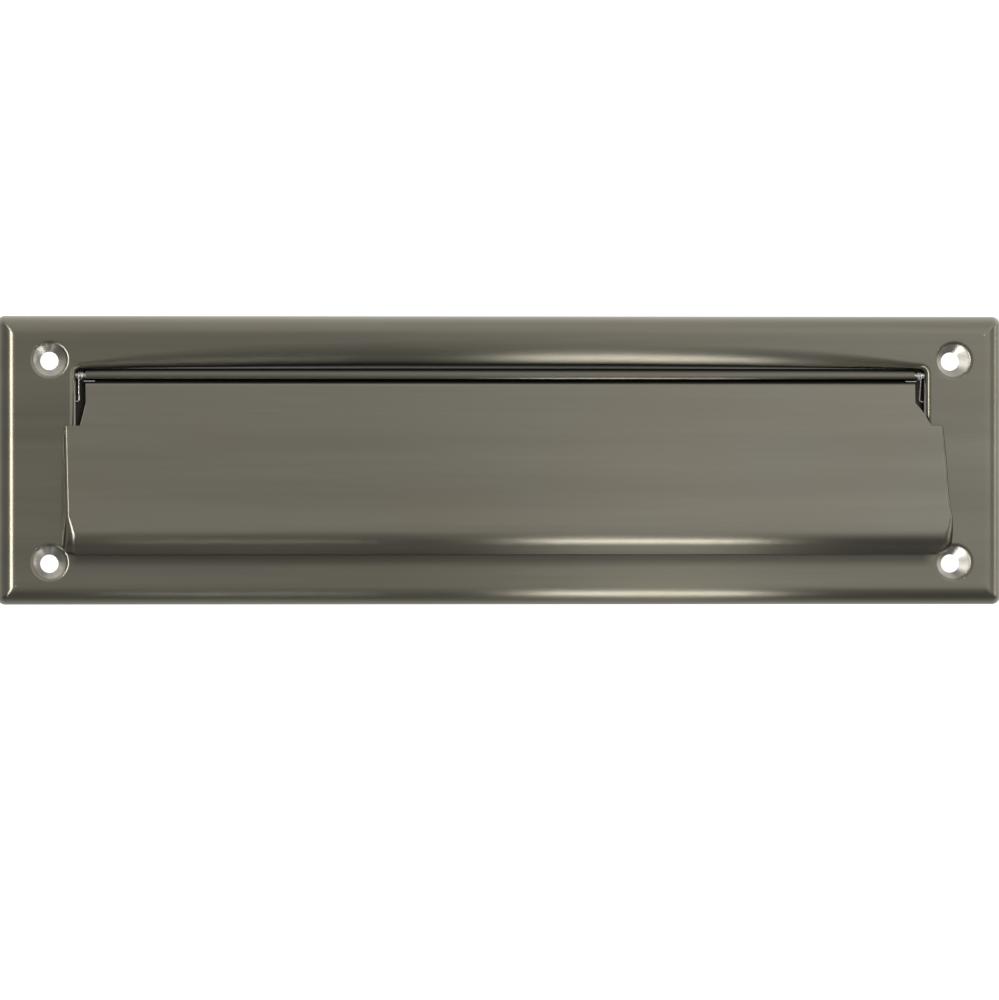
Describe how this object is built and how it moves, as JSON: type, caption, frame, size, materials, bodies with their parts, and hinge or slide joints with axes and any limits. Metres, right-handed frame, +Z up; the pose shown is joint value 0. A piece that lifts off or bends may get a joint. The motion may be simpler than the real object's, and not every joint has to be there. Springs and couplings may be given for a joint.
{
  "type": "letter plate",
  "caption": "Wide pressed-metal letter plate for a door: a rolled-edge plate with corner screw holes and a sprung flap that lifts outwards on a hinge rod.",
  "frame": {"origin": "centre of the plate's outline, on the door's outside face", "axes": "+X to the right as seen from outside, +Y into the door, +Z up"},
  "size_m": [0.3334, 0.0146, 0.0952],
  "materials": {
    "plate_nickel": "dark antique nickel over pressed steel, brushed lengthwise, satin",
    "flap_nickel": "dark antique nickel over pressed steel, brushed lengthwise, satin",
    "rod_steel": "drawn steel rod",
    "spring_wire": "bright spring wire",
    "clip_steel": "oiled spring steel"
  },
  "bodies": {
    "plate": {"face_plate": "plate_nickel", "hinge_rod": "rod_steel", "left_rod_clip": "clip_steel", "right_rod_clip": "clip_steel", "left_torsion_spring": "spring_wire", "right_torsion_spring": "spring_wire"},
    "flap": {"flap": "flap_nickel"}
  },
  "joints": [
    {"name": "flap_hinge", "type": "hinge", "parent": "plate", "child": "flap", "pos_m": [0, -0.0032, 0.028], "axis": [-1, 0, 0], "range_deg": [0, 96], "stiffness_Nm_per_rad": 0.015, "springref_deg": -20.05, "deforming": ["left_torsion_spring", "right_torsion_spring"]}
  ]
}
